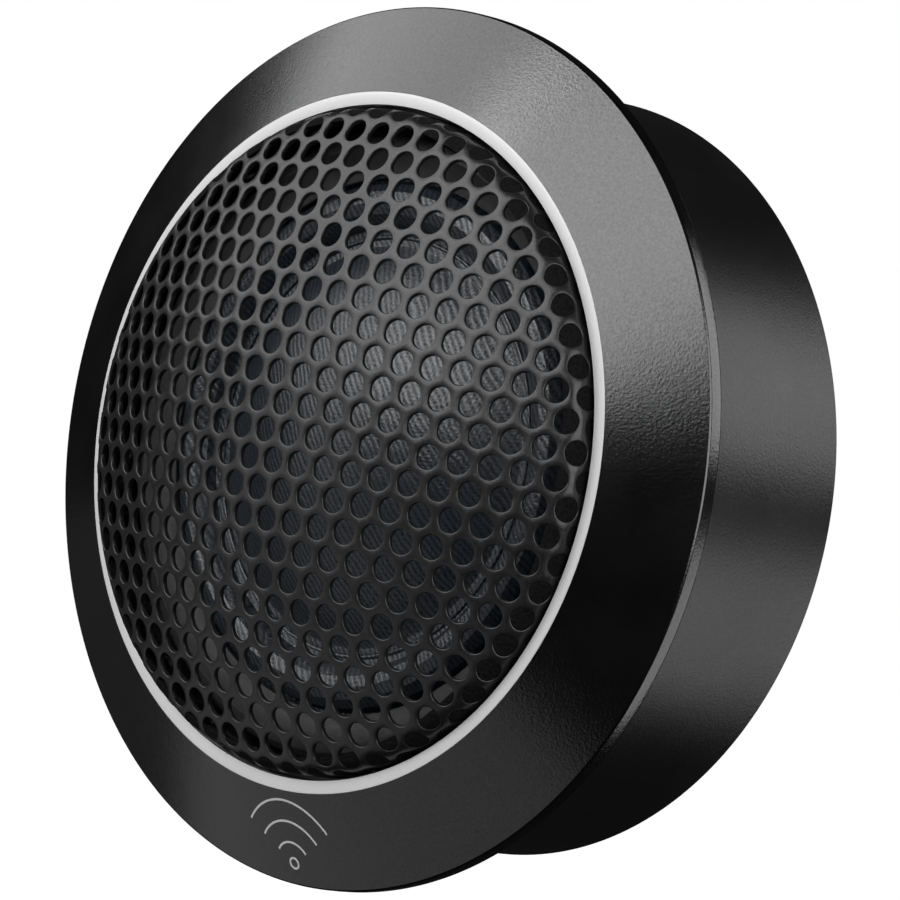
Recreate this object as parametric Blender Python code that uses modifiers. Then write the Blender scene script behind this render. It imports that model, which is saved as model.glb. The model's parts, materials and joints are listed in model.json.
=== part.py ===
"""Flush-mount car tweeter: a silk-dome driver behind a domed grille, in a flanged metal housing.

The axis runs along Y, the grille faces -Y and +Z is up. The origin lies on the axis, in the
plane of the flange's rear face, which seats on the panel. A profile is a list of
(radius, height) points, where height is the distance in front of that plane, so whatever
lies behind the panel's face has a negative height.
"""

import math

import bmesh
import bpy
from mathutils import Matrix, Vector

MM = 0.001

# Fits
TOUCH = 0.3 * MM  # between pieces that rest on each other
BOND = 0.1 * MM  # a glue line in the voice coil and the motor
PRESS = 0.05 * MM  # round the pressed-in trim ring

# Flange and trim ring
FLANGE_RADIUS = 27.0 * MM
RIM_HEIGHT = 1.0 * MM
RIM_CHAMFER = 0.1 * MM
CONE_TOP_RADIUS = 21.33 * MM
CONE_TOP_HEIGHT = 3.85 * MM
TRIM_INNER_RADIUS = 20.53 * MM
TRIM_THICKNESS = 0.9 * MM
LEDGE_THICKNESS = 0.9 * MM
BORE_RADIUS = 20.95 * MM
SPIGOT_RADIUS = 22.6 * MM
SPIGOT_LENGTH = 2.5 * MM
SEAT_INNER_RADIUS = 24.0 * MM
SEAT_RELIEF = 0.2 * MM  # clears the edge of the panel's hole

# Grille
GRILLE_APEX = 9.9 * MM
GRILLE_DOME_RADIUS = 43.1 * MM
GRILLE_SKIRT_RADIUS = 20.25 * MM
GRILLE_SHOULDER = 1.2 * MM
GRILLE_SHEET = 0.6 * MM
GRILLE_FOOT_RADIUS = 20.7 * MM
GRILLE_FOOT_TOP = 1.7 * MM

# Faceplate, with the rounded ring that the grille shows
FACEPLATE_TOP = 2.6 * MM
FACEPLATE_CREST_RADIUS = 18.2 * MM
FACEPLATE_WALL_RADIUS = 19.4 * MM
FACEPLATE_RADIUS = 20.65 * MM
FACEPLATE_FLANGE_TOP = -0.1 * MM
FACEPLATE_REAR = -1.3 * MM
FACEPLATE_RECESS_RADIUS = 17.2 * MM
FACEPLATE_MOUTH_RADIUS = 16.4 * MM
FACEPLATE_LIP = 0.3 * MM
GASKET_THICKNESS = 0.6 * MM

# Diaphragm, voice coil and its mounting ring
FABRIC = 0.3 * MM
DOME_BASE_HEIGHT = 0.6 * MM
DOME_RISE = 4.2 * MM
DOME_RADIUS = 12.3 * MM
DOME_COLLAR_RADIUS = 12.75 * MM
ROLL_CENTRE_RADIUS = 14.8 * MM
ROLL_RADIUS = 1.4 * MM
SURROUND_INNER_RADIUS = 12.9 * MM
SURROUND_OUTER_RADIUS = 17.0 * MM
RING_INNER_RADIUS = 15.7 * MM
RING_REAR = -1.0 * MM
FORMER_INNER_RADIUS = 12.45 * MM
FORMER_WALL = 0.25 * MM
FORMER_REAR = -5.4 * MM
COIL_WALL = 0.5 * MM
COIL_TOP = -1.6 * MM
COIL_LENGTH = 3.0 * MM

# Motor
VENT_RADIUS = 2.0 * MM
POLE_RADIUS = 11.75 * MM
POLE_TOP = -2.1 * MM
POLE_THICKNESS = 2.0 * MM
CAP_WALL = 0.25 * MM
PAD_INNER_RADIUS = 2.6 * MM
PAD_OUTER_RADIUS = 10.5 * MM
PAD_THICKNESS = 1.0 * MM
MAGNET_RADIUS = 11.2 * MM
MAGNET_THICKNESS = 4.0 * MM
YOKE_RADIUS = 16.4 * MM
YOKE_FRONT = -1.9 * MM
YOKE_GAP_RADIUS = 13.6 * MM
YOKE_GAP_LENGTH = 2.4 * MM
YOKE_RELIEF_RADIUS = 14.4 * MM
YOKE_FLOOR = 2.0 * MM

# Chassis that carries the motor
CHASSIS_RADIUS = 22.55 * MM
CHASSIS_REAR = -4.0 * MM
CHASSIS_SLEEVE_WALL = 0.6 * MM
CHASSIS_SLEEVE_REAR = -8.0 * MM

# Housing, rear cover and what is on it
HOUSING_RADIUS = 23.79 * MM
HOUSING_REAR = -14.55 * MM
HOUSING_SOCKET_RADIUS = 22.9 * MM
HOUSING_BORE_RADIUS = 21.6 * MM
HOUSING_EDGE = 0.15 * MM
SEAT_RADIUS = 19.6 * MM
SEAT_FRONT = -9.6 * MM
SEAT_REAR = -11.4 * MM
COVER_POCKET_RADIUS = 23.0 * MM
COVER_RADIUS = 22.7 * MM
COVER_FRONT = -12.0 * MM
COVER_THICKNESS = 1.2 * MM
SEAL_INNER_RADIUS = 19.75 * MM
SEAL_OUTER_RADIUS = 20.25 * MM
SEAL_THICKNESS = 0.4 * MM
FOAM_INNER_RADIUS = 17.8 * MM
FOAM_OUTER_RADIUS = 21.2 * MM
FOAM_FRONT = -4.8 * MM
FOAM_REAR = -9.2 * MM
FOAM_GAP_HALF_WIDTH = 9.0 * MM
REAR_PAD_RADIUS = 7.0 * MM
REAR_PAD_THICKNESS = 0.8 * MM

# Screws: centre circle, head and shank
DRIVER_SCREW_CIRCLE = 18.5 * MM
DRIVER_SCREW_HEAD = 1.1 * MM
DRIVER_SCREW_TIP = -0.3 * MM
COVER_SCREW_CIRCLE = 21.2 * MM
COVER_SCREW_HEAD = 1.25 * MM
COVER_SCREW_TIP = -9.9 * MM
SCREW_HEAD_HEIGHT = 0.7 * MM
SCREW_SHANK = 0.6 * MM
SCREW_HOLE = 0.8 * MM
SCREW_SOCKET = 0.55 * MM
SCREW_SOCKET_DEPTH = 0.35 * MM
SCREW_ANGLES = {"1": 90.0, "2": 210.0, "3": 330.0}

# Electrical pieces, at the bottom of the rear cover
SIDES = {"positive": 1.0, "negative": -1.0}
BLADE_WIDTHS = {"positive": 4.8 * MM, "negative": 2.8 * MM}
BLADE_X = 4.5 * MM
BLADE_Z = -12.0 * MM
BLADE_THICKNESS = 0.5 * MM
BLADE_FRONT = -11.4 * MM
BLADE_REAR = -20.3 * MM
BLADE_TIP_BEVEL = 0.4 * MM
BLADE_HOLE_RADIUS = 0.65 * MM
BLADE_HOLE_FROM_TIP = 2.4 * MM
BLADE_SLOT_CLEARANCE = 0.2 * MM
BLOCK_SIZE = Vector((17.0 * MM, 1.5 * MM, 6.0 * MM))
BLOCK_BEVEL = 0.4 * MM
LEAD_BEARING = 20.6  # degrees from straight down, seen from behind or in front
TAG_LENGTH = 2.9 * MM
TAG_WIDTH = 1.2 * MM
TAG_THICKNESS = 0.2 * MM
TAG_INNER_RADIUS = 15.9 * MM
TAG_TOP = -1.35 * MM
LEAD_RADIUS = 0.45 * MM
LEAD_CIRCLE = 18.3 * MM
LEAD_HOLE = 0.72 * MM
COIL_LEAD_RADIUS = 0.1 * MM

# Facets
OUTER_STEPS = 80
GRILLE_STEPS = 48
INNER_STEPS = 30
SMALL_STEPS = 12
WIRE_POINTS = 3  # from each point of a wire's route to the next
MERGE = 1e-6
SMOOTH_ANGLE = math.radians(28.0)
OVERCUT = 1.0 * MM

FORWARD = Matrix.Rotation(math.radians(90.0), 4, "X")  # turns a profile's height towards -Y


# Scene and materials ---------------------------------------------------------------------


def empty_scene():
    for item in list(bpy.data.objects):
        bpy.data.objects.remove(item, do_unlink=True)


def new_collection(name):
    collection = bpy.data.collections.new(name)
    bpy.context.scene.collection.children.link(collection)
    return collection


def new_material(name, colour, roughness, metallic):
    material = bpy.data.materials.new(name)
    material.use_nodes = True
    shader = material.node_tree.nodes["Principled BSDF"]
    shader.inputs["Base Color"].default_value = (*colour, 1.0)
    shader.inputs["Roughness"].default_value = roughness
    shader.inputs["Metallic"].default_value = metallic
    return material


# Shapes ----------------------------------------------------------------------------------


def arc(centre, radius, start, end, count):
    """Points of an arc in a profile, from one angle to another in degrees, ends included."""
    points = []
    for i in range(count + 1):
        angle = math.radians(start + (end - start) * i / count)
        points.append((centre[0] + radius * math.cos(angle), centre[1] + radius * math.sin(angle)))
    return points


def rectangle(inner, outer, top, bottom):
    """A ring's or a disc's section, down its outer side. A disc has an inner radius of 0."""
    return [(inner, top), (outer, top), (outer, bottom), (inner, bottom)]


def place(name, mesh, collection, material=None):
    obj = bpy.data.objects.new(name, mesh)
    collection.objects.link(obj)
    if material:
        mesh.materials.append(material)
    return obj


def shade(mesh):
    mesh.shade_smooth()
    mesh.set_sharp_from_angle(angle=SMOOTH_ANGLE)


def evaluated_mesh(obj):
    graph = bpy.context.evaluated_depsgraph_get()
    return bpy.data.meshes.new_from_object(obj.evaluated_get(graph))


def turned(name, profile, collection, material=None, steps=INNER_STEPS):
    """A profile turned about the Y axis. It closes on itself unless both its ends lie on the axis."""
    outline = bpy.data.meshes.new(name + "_profile")
    build = bmesh.new()
    points = [build.verts.new((radius, 0.0, height)) for radius, height in profile]
    for first, second in zip(points, points[1:]):
        build.edges.new((first, second))
    if profile[0][0] > 0 or profile[-1][0] > 0:
        build.edges.new((points[-1], points[0]))
    build.to_mesh(outline)
    build.free()
    obj = place(name, outline, collection)
    screw = obj.modifiers.new("Turn", "SCREW")
    screw.steps = steps
    screw.render_steps = steps
    screw.use_merge_vertices = True
    screw.merge_threshold = MERGE
    bpy.context.view_layer.update()
    solid = evaluated_mesh(obj)
    solid.name = name
    solid.transform(FORWARD)
    if material:
        solid.materials.append(material)
    shade(solid)
    obj.modifiers.clear()
    obj.data = solid
    bpy.data.meshes.remove(outline)
    return obj


def cylinder(name, radius, length, matrix, collection, material=None, steps=SMALL_STEPS):
    """A cylinder along its own Z, centred on the matrix's origin."""
    mesh = bpy.data.meshes.new(name)
    build = bmesh.new()
    bmesh.ops.create_cone(
        build, cap_ends=True, segments=steps, radius1=radius, radius2=radius, depth=length
    )
    build.to_mesh(mesh)
    build.free()
    obj = place(name, mesh, collection, material)
    obj.matrix_world = matrix
    return obj


def block(name, size, matrix, collection, material=None):
    mesh = bpy.data.meshes.new(name)
    build = bmesh.new()
    bmesh.ops.create_cube(build, size=1.0, matrix=Matrix.Diagonal((*size, 1.0)))
    build.to_mesh(mesh)
    build.free()
    obj = place(name, mesh, collection, material)
    obj.matrix_world = matrix
    return obj


def cut(obj, cutter):
    boolean = obj.modifiers.new("Cut " + cutter.name, "BOOLEAN")
    boolean.operation = "DIFFERENCE"
    boolean.object = cutter
    cutter.hide_render = True
    cutter.display_type = "WIRE"


def bevel_edges(obj, width, segments):
    bevel = obj.modifiers.new("Soft edges", "BEVEL")
    bevel.width = width
    bevel.segments = segments
    bevel.limit_method = "ANGLE"


def around(radius, angle, height):
    """A frame at a radius and an angle from +X, with its Z along the axis and its X outwards."""
    turn = Matrix.Rotation(math.radians(angle), 4, "Z")
    return FORWARD @ turn @ Matrix.Translation((radius, 0.0, height))


def wire(name, route, radius, collection, material):
    """A round wire along a smooth curve through the route's points."""
    fine = []
    padded = [route[0], *route, route[-1]]
    for a, b, c, d in zip(padded, padded[1:], padded[2:], padded[3:]):
        for i in range(WIRE_POINTS):
            t = i / WIRE_POINTS
            fine.append(
                0.5 * ((2 * b) + (c - a) * t + (2 * a - 5 * b + 4 * c - d) * t**2
                       + (3 * b - a - 3 * c + d) * t**3)
            )
    fine.append(route[-1])
    curve = bpy.data.curves.new(name, "CURVE")
    curve.dimensions = "3D"
    curve.bevel_depth = radius
    curve.bevel_resolution = 2
    curve.use_fill_caps = True
    spline = curve.splines.new("POLY")
    spline.points.add(len(fine) - 1)
    for point, position in zip(spline.points, fine):
        point.co = (*position, 1.0)
    return place(name, curve, collection, material)


# Flange, trim and grille -----------------------------------------------------------------


def bezel_flange(parts, material):
    ledge_top = CONE_TOP_HEIGHT - TRIM_THICKNESS - PRESS
    ledge_bottom = ledge_top - LEDGE_THICKNESS
    profile = [
        (CONE_TOP_RADIUS, CONE_TOP_HEIGHT),
        (FLANGE_RADIUS - RIM_CHAMFER, RIM_HEIGHT + RIM_CHAMFER / 2),
        (FLANGE_RADIUS, RIM_HEIGHT - RIM_CHAMFER / 2),
        (FLANGE_RADIUS, 0.0),
        (SEAT_INNER_RADIUS, 0.0),
        (SEAT_INNER_RADIUS, SEAT_RELIEF),
        (SPIGOT_RADIUS, SEAT_RELIEF),
        (SPIGOT_RADIUS, -SPIGOT_LENGTH),
        (BORE_RADIUS, -SPIGOT_LENGTH),
        (BORE_RADIUS, ledge_bottom),
        (TRIM_INNER_RADIUS, ledge_bottom),
        (TRIM_INNER_RADIUS, ledge_top),
        (CONE_TOP_RADIUS, ledge_top),
    ]
    return turned("bezel_flange", profile, parts, material, OUTER_STEPS)


def trim_ring(parts, material):
    bottom = CONE_TOP_HEIGHT - TRIM_THICKNESS
    profile = rectangle(TRIM_INNER_RADIUS, CONE_TOP_RADIUS - PRESS, CONE_TOP_HEIGHT, bottom)
    return turned("trim_ring", profile, parts, material, OUTER_STEPS)


def grille_side(shift, dome_count, shoulder_count):
    """One side of the sheet, from the apex to the foot of its dome, shifted inwards."""
    centre_height = GRILLE_APEX - GRILLE_DOME_RADIUS
    bend_radius = GRILLE_SKIRT_RADIUS - GRILLE_SHOULDER
    bend_reach = GRILLE_DOME_RADIUS - GRILLE_SHOULDER
    bend_height = centre_height + math.sqrt(bend_reach**2 - bend_radius**2)
    tangent = math.degrees(math.acos(bend_radius / bend_reach))
    dome = arc((0.0, centre_height), GRILLE_DOME_RADIUS - shift, 90.0, tangent, dome_count)
    dome[0] = (0.0, GRILLE_APEX - shift)
    bend = arc((bend_radius, bend_height), GRILLE_SHOULDER - shift, tangent, 0.0, shoulder_count)
    return dome + bend[1:]


def grille(parts, material):
    """The sheet without its holes: a shallow dome, a tight shoulder and a skirt with a turned foot."""
    foot_bottom = GRILLE_FOOT_TOP - GRILLE_SHEET
    foot = [
        (GRILLE_SKIRT_RADIUS, GRILLE_FOOT_TOP),
        (GRILLE_FOOT_RADIUS, GRILLE_FOOT_TOP),
        (GRILLE_FOOT_RADIUS, foot_bottom),
        (GRILLE_SKIRT_RADIUS - GRILLE_SHEET, foot_bottom),
    ]
    profile = grille_side(0.0, 7, 4) + foot + grille_side(GRILLE_SHEET, 6, 3)[::-1]
    return turned("grille", profile, parts, material, GRILLE_STEPS)


def grille_gasket(parts, material):
    top = GRILLE_FOOT_TOP - GRILLE_SHEET - TOUCH
    inner = FACEPLATE_WALL_RADIUS + BOND
    profile = rectangle(inner, FACEPLATE_RADIUS, top, top - GASKET_THICKNESS)
    return turned("grille_gasket", profile, parts, material)


# Faceplate and diaphragm -----------------------------------------------------------------


def faceplate(parts, cutters, material):
    recess_top = DOME_BASE_HEIGHT + FABRIC + TOUCH
    mouth_top = recess_top + FACEPLATE_LIP
    outer_bend = FACEPLATE_WALL_RADIUS - FACEPLATE_CREST_RADIUS
    flare_width = FACEPLATE_CREST_RADIUS - FACEPLATE_MOUTH_RADIUS
    flare = [
        (
            FACEPLATE_MOUTH_RADIUS + flare_width * math.sin(math.radians(angle)),
            FACEPLATE_TOP - (FACEPLATE_TOP - mouth_top) * math.cos(math.radians(angle)) ** 2,
        )
        for angle in (0.0, 22.0, 44.0, 66.0)
    ]
    crest = [
        (
            FACEPLATE_CREST_RADIUS + outer_bend * math.sin(math.radians(angle)),
            FACEPLATE_TOP - outer_bend * (1.0 - math.cos(math.radians(angle))),
        )
        for angle in (0.0, 30.0, 60.0, 90.0)
    ]
    body = [
        (FACEPLATE_WALL_RADIUS, FACEPLATE_FLANGE_TOP),
        (FACEPLATE_RADIUS, FACEPLATE_FLANGE_TOP),
        (FACEPLATE_RADIUS, FACEPLATE_REAR),
        (FACEPLATE_RECESS_RADIUS, FACEPLATE_REAR),
        (FACEPLATE_RECESS_RADIUS, recess_top),
        (FACEPLATE_MOUTH_RADIUS, recess_top),
    ]
    obj = turned("faceplate", crest + body + flare, parts, material)
    depth = DRIVER_SCREW_TIP - FACEPLATE_REAR + TOUCH
    for key, angle in SCREW_ANGLES.items():
        middle = FACEPLATE_REAR + (depth - OVERCUT) / 2
        frame = around(DRIVER_SCREW_CIRCLE, angle, middle)
        name = "faceplate_hole_" + key
        cut(obj, cylinder(name, SCREW_HOLE, depth + OVERCUT, frame, cutters))
    return obj


def dome(parts, material):
    """A spherical cap with a flat collar that the voice coil former is glued to."""
    top = DOME_BASE_HEIGHT + FABRIC
    sphere = (DOME_RADIUS**2 + DOME_RISE**2) / (2.0 * DOME_RISE)
    centre = (0.0, top + DOME_RISE - sphere)
    edge = math.degrees(math.acos(DOME_RADIUS / sphere))
    outer = arc(centre, sphere, 90.0, edge, 5)
    inner = arc(centre, sphere - FABRIC, 90.0, edge, 5)
    outer[0] = (0.0, top + DOME_RISE)
    inner[0] = (0.0, top + DOME_RISE - FABRIC)
    inner = [point for point in inner if point[1] > DOME_BASE_HEIGHT]
    collar = [
        (DOME_COLLAR_RADIUS, top),
        (DOME_COLLAR_RADIUS, DOME_BASE_HEIGHT),
        (inner[-1][0] + FABRIC / 2, DOME_BASE_HEIGHT),
    ]
    return turned("dome", outer + collar + inner[::-1], parts, material)


def surround(parts, material):
    """A half roll between two flat feet, one bonded to the dome and one to the mounting ring."""
    top = DOME_BASE_HEIGHT + FABRIC
    centre = (ROLL_CENTRE_RADIUS, top)
    outer = arc(centre, ROLL_RADIUS, 180.0, 0.0, 6)
    inner = arc(centre, ROLL_RADIUS - FABRIC, 0.0, 180.0, 5)
    profile = [
        (SURROUND_INNER_RADIUS, top),
        *outer,
        (SURROUND_OUTER_RADIUS, top),
        (SURROUND_OUTER_RADIUS, DOME_BASE_HEIGHT),
        (inner[0][0], DOME_BASE_HEIGHT),
        *inner,
        (inner[-1][0], DOME_BASE_HEIGHT),
        (SURROUND_INNER_RADIUS, DOME_BASE_HEIGHT),
    ]
    return turned("surround", profile, parts, material)


def diaphragm_ring(parts, material):
    top = DOME_BASE_HEIGHT - TOUCH
    profile = rectangle(RING_INNER_RADIUS, SURROUND_OUTER_RADIUS, top, RING_REAR)
    return turned("diaphragm_ring", profile, parts, material)


def voice_coil_former(parts, material):
    outer = FORMER_INNER_RADIUS + FORMER_WALL
    profile = rectangle(FORMER_INNER_RADIUS, outer, DOME_BASE_HEIGHT - BOND, FORMER_REAR)
    return turned("voice_coil_former", profile, parts, material)


def voice_coil(parts, material):
    inner = FORMER_INNER_RADIUS + FORMER_WALL + BOND
    profile = rectangle(inner, inner + COIL_WALL, COIL_TOP, COIL_TOP - COIL_LENGTH)
    return turned("voice_coil", profile, parts, material)


# Motor -----------------------------------------------------------------------------------


def pole_plate(parts, material):
    profile = rectangle(VENT_RADIUS, POLE_RADIUS, POLE_TOP, POLE_TOP - POLE_THICKNESS)
    return turned("pole_plate", profile, parts, material)


def copper_cap(parts, material):
    """A thin cap over the pole plate: a washer with a skirt."""
    inside = POLE_RADIUS + BOND
    under = POLE_TOP + BOND
    skirt_bottom = POLE_TOP - POLE_THICKNESS
    profile = [
        (inside + CAP_WALL, under + CAP_WALL),
        (inside + CAP_WALL, skirt_bottom),
        (inside, skirt_bottom),
        (inside, under),
        (VENT_RADIUS, under),
        (VENT_RADIUS, under + CAP_WALL),
    ]
    return turned("copper_cap", profile, parts, material)


def pole_damping_pad(parts, material):
    bottom = POLE_TOP + BOND + CAP_WALL + BOND
    profile = rectangle(PAD_INNER_RADIUS, PAD_OUTER_RADIUS, bottom + PAD_THICKNESS, bottom)
    return turned("pole_damping_pad", profile, parts, material)


def magnet(parts, material):
    top = POLE_TOP - POLE_THICKNESS - TOUCH
    profile = rectangle(VENT_RADIUS, MAGNET_RADIUS, top, top - MAGNET_THICKNESS)
    return turned("magnet", profile, parts, material)


def yoke_rear():
    return POLE_TOP - POLE_THICKNESS - TOUCH - MAGNET_THICKNESS - TOUCH - YOKE_FLOOR


def yoke_cup(parts, material):
    """The steel pot that returns the field: its front lip is the outer side of the air gap."""
    rear = yoke_rear()
    floor = rear + YOKE_FLOOR
    lip_bottom = YOKE_FRONT - YOKE_GAP_LENGTH
    profile = [
        (YOKE_RADIUS, YOKE_FRONT),
        (YOKE_RADIUS, rear + TOUCH),
        (YOKE_RADIUS - TOUCH, rear),
        (VENT_RADIUS, rear),
        (VENT_RADIUS, floor),
        (YOKE_RELIEF_RADIUS, floor),
        (YOKE_RELIEF_RADIUS, lip_bottom),
        (YOKE_GAP_RADIUS, lip_bottom),
        (YOKE_GAP_RADIUS, YOKE_FRONT),
    ]
    return turned("yoke_cup", profile, parts, material)


def motor_chassis(parts, cutters, material):
    """A moulded collar: its sleeve holds the yoke, and its flange is clamped by the housing."""
    bore = YOKE_RADIUS + TOUCH
    sleeve = bore + CHASSIS_SLEEVE_WALL
    front = FACEPLATE_REAR - TOUCH
    step = -SPIGOT_LENGTH - TOUCH
    profile = [
        (FACEPLATE_RADIUS, front),
        (FACEPLATE_RADIUS, step),
        (CHASSIS_RADIUS, step),
        (CHASSIS_RADIUS, CHASSIS_REAR),
        (sleeve, CHASSIS_REAR),
        (sleeve, CHASSIS_SLEEVE_REAR),
        (bore, CHASSIS_SLEEVE_REAR),
        (bore, front),
    ]
    obj = turned("motor_chassis", profile, parts, material)
    middle = (front + CHASSIS_REAR) / 2
    length = front - CHASSIS_REAR + OVERCUT
    for key, angle in SCREW_ANGLES.items():
        frame = around(DRIVER_SCREW_CIRCLE, angle, middle)
        cut(obj, cylinder("chassis_hole_" + key, SCREW_HOLE, length, frame, cutters))
    for key, side in SIDES.items():
        frame = around(LEAD_CIRCLE, side * LEAD_BEARING - 90.0, middle)
        cut(obj, cylinder("chassis_lead_hole_" + key, LEAD_HOLE, length, frame, cutters))
    return obj


# Housing ---------------------------------------------------------------------------------


def rear_housing(parts, cutters, material):
    """A turned can: a socket for the flange's spigot, a bore, and a seat for the rear cover."""
    front = SEAT_RELIEF - TOUCH
    shoulder = CHASSIS_REAR - TOUCH
    profile = [
        (HOUSING_RADIUS, front),
        (HOUSING_RADIUS, HOUSING_REAR + HOUSING_EDGE),
        (HOUSING_RADIUS - HOUSING_EDGE, HOUSING_REAR),
        (COVER_POCKET_RADIUS, HOUSING_REAR),
        (COVER_POCKET_RADIUS, SEAT_REAR),
        (SEAT_RADIUS, SEAT_REAR),
        (SEAT_RADIUS, SEAT_FRONT),
        (HOUSING_BORE_RADIUS, SEAT_FRONT),
        (HOUSING_BORE_RADIUS, shoulder),
        (HOUSING_SOCKET_RADIUS, shoulder),
        (HOUSING_SOCKET_RADIUS, front),
    ]
    obj = turned("rear_housing", profile, parts, material, OUTER_STEPS)
    for key, angle in SCREW_ANGLES.items():
        frame = around(COVER_SCREW_CIRCLE, angle, (SEAT_FRONT + SEAT_REAR) / 2)
        length = SEAT_FRONT - SEAT_REAR + OVERCUT
        cut(obj, cylinder("housing_hole_" + key, SCREW_HOLE, length, frame, cutters))
    return obj


def cover_seal(parts, material):
    top = SEAT_REAR - BOND
    profile = rectangle(SEAL_INNER_RADIUS, SEAL_OUTER_RADIUS, top, top - SEAL_THICKNESS)
    return turned("cover_seal", profile, parts, material)


def blade_slot(name, key, cutters):
    """A slot for one terminal blade, long enough for the cover and the block."""
    size = (
        BLADE_WIDTHS[key] + 2.0 * BLADE_SLOT_CLEARANCE,
        COVER_THICKNESS + BLOCK_SIZE.y + 2.0 * OVERCUT,
        BLADE_THICKNESS + 2.0 * BLADE_SLOT_CLEARANCE,
    )
    middle = -COVER_FRONT + (COVER_THICKNESS + BLOCK_SIZE.y) / 2
    frame = Matrix.Translation((SIDES[key] * BLADE_X, middle, BLADE_Z))
    return block(name + key, size, frame, cutters)


def rear_cover(parts, cutters, material):
    rear = COVER_FRONT - COVER_THICKNESS
    profile = [
        (0.0, COVER_FRONT),
        (COVER_RADIUS, COVER_FRONT),
        (COVER_RADIUS, rear + HOUSING_EDGE),
        (COVER_RADIUS - HOUSING_EDGE, rear),
        (0.0, rear),
    ]
    obj = turned("rear_cover", profile, parts, material, OUTER_STEPS)
    for key, angle in SCREW_ANGLES.items():
        frame = around(COVER_SCREW_CIRCLE, angle, (COVER_FRONT + rear) / 2)
        length = COVER_THICKNESS + OVERCUT
        cut(obj, cylinder("cover_hole_" + key, SCREW_HOLE, length, frame, cutters))
    for key in SIDES:
        cut(obj, blade_slot("cover_slot_", key, cutters))
    return obj


def chamber_foam(parts, cutters, material):
    """A ring of foam round the motor, open at the bottom where the leads pass."""
    profile = rectangle(FOAM_INNER_RADIUS, FOAM_OUTER_RADIUS, FOAM_FRONT, FOAM_REAR)
    obj = turned("chamber_foam", profile, parts, material)
    size = (2.0 * FOAM_GAP_HALF_WIDTH, FOAM_FRONT - FOAM_REAR + OVERCUT, FOAM_OUTER_RADIUS)
    middle = -(FOAM_FRONT + FOAM_REAR) / 2
    frame = Matrix.Translation((0.0, middle, -FOAM_OUTER_RADIUS))
    cut(obj, block("foam_gap", size, frame, cutters))
    return obj


def rear_damping_pad(parts, material):
    top = yoke_rear() - BOND
    profile = rectangle(0.0, REAR_PAD_RADIUS, top, top - REAR_PAD_THICKNESS)
    return turned("rear_damping_pad", profile, parts, material)


# Screws ----------------------------------------------------------------------------------


def screw(name, circle, angle, head_radius, head_front, tip, parts, cutters, material):
    """A small pan-head screw, its head to the rear, with a hexagonal socket."""
    head_rear = head_front - SCREW_HEAD_HEIGHT
    edge = SCREW_HEAD_HEIGHT / 3
    profile = [
        (0.0, tip),
        (SCREW_SHANK, tip - edge),
        (SCREW_SHANK, head_front),
        (head_radius, head_front),
        (head_radius, head_rear + edge),
        (head_radius - edge, head_rear),
        (0.0, head_rear),
    ]
    obj = turned(name, profile, parts, material, SMALL_STEPS)
    obj.matrix_world = around(circle, angle, 0.0) @ FORWARD.inverted()
    frame = around(circle, angle, head_rear + (SCREW_SOCKET_DEPTH - OVERCUT) / 2)
    depth = SCREW_SOCKET_DEPTH + OVERCUT
    cut(obj, cylinder(name + "_socket", SCREW_SOCKET, depth, frame, cutters, steps=6))
    return obj


def driver_screws(parts, cutters, material):
    front = CHASSIS_REAR - BOND
    for key, angle in SCREW_ANGLES.items():
        screw(
            "driver_screw_" + key, DRIVER_SCREW_CIRCLE, angle, DRIVER_SCREW_HEAD,
            front, DRIVER_SCREW_TIP, parts, cutters, material,
        )


def cover_screws(parts, cutters, material):
    front = COVER_FRONT - COVER_THICKNESS - BOND
    for key, angle in SCREW_ANGLES.items():
        screw(
            "cover_screw_" + key, COVER_SCREW_CIRCLE, angle, COVER_SCREW_HEAD,
            front, COVER_SCREW_TIP, parts, cutters, material,
        )


# Electrical pieces -----------------------------------------------------------------------


def terminal_block(parts, cutters, material):
    front = -COVER_FRONT + COVER_THICKNESS + BOND
    frame = Matrix.Translation((0.0, front + BLOCK_SIZE.y / 2, BLADE_Z))
    obj = block("terminal_block", BLOCK_SIZE, frame, parts, material)
    bevel_edges(obj, BLOCK_BEVEL, 2)
    for key in SIDES:
        cut(obj, blade_slot("block_slot_", key, cutters))
    shade(obj.data)
    return obj


def terminal_blades(parts, cutters, material):
    """Two flat blades of different widths, so that the lead can't be put on the wrong way round."""
    for key, side in SIDES.items():
        x = side * BLADE_X
        size = (BLADE_WIDTHS[key], BLADE_FRONT - BLADE_REAR, BLADE_THICKNESS)
        frame = Matrix.Translation((x, -(BLADE_FRONT + BLADE_REAR) / 2, BLADE_Z))
        obj = block("terminal_" + key, size, frame, parts, material)
        weights = obj.data.attributes.new("bevel_weight_edge", "FLOAT", "EDGE")
        for edge in obj.data.edges:
            ends = [obj.data.vertices[i].co for i in edge.vertices]
            at_tip = all(end.y > 0 for end in ends) and abs(ends[0].z - ends[1].z) > MERGE
            weights.data[edge.index].value = float(at_tip)
        bevel = obj.modifiers.new("Tip corners", "BEVEL")
        bevel.width = BLADE_TIP_BEVEL
        bevel.segments = 1
        bevel.limit_method = "WEIGHT"
        hole_y = -BLADE_REAR - BLADE_HOLE_FROM_TIP
        hole = Matrix.Translation((x, hole_y, BLADE_Z))
        length = BLADE_THICKNESS + OVERCUT
        cut(obj, cylinder("blade_hole_" + key, BLADE_HOLE_RADIUS, length, hole, cutters))


def solder_tags(parts, material):
    """Flat strips behind the mounting ring, where the coil's leads meet the inner leads."""
    for key, side in SIDES.items():
        angle = side * LEAD_BEARING - 90.0
        middle = TAG_INNER_RADIUS + TAG_LENGTH / 2
        frame = around(middle, angle, TAG_TOP - TAG_THICKNESS / 2)
        size = (TAG_LENGTH, TAG_WIDTH, TAG_THICKNESS)
        block("solder_tag_" + key, size, frame, parts, material)


def lead_point(radius, height, side):
    return around(radius, side * LEAD_BEARING - 90.0, height).translation


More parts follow.
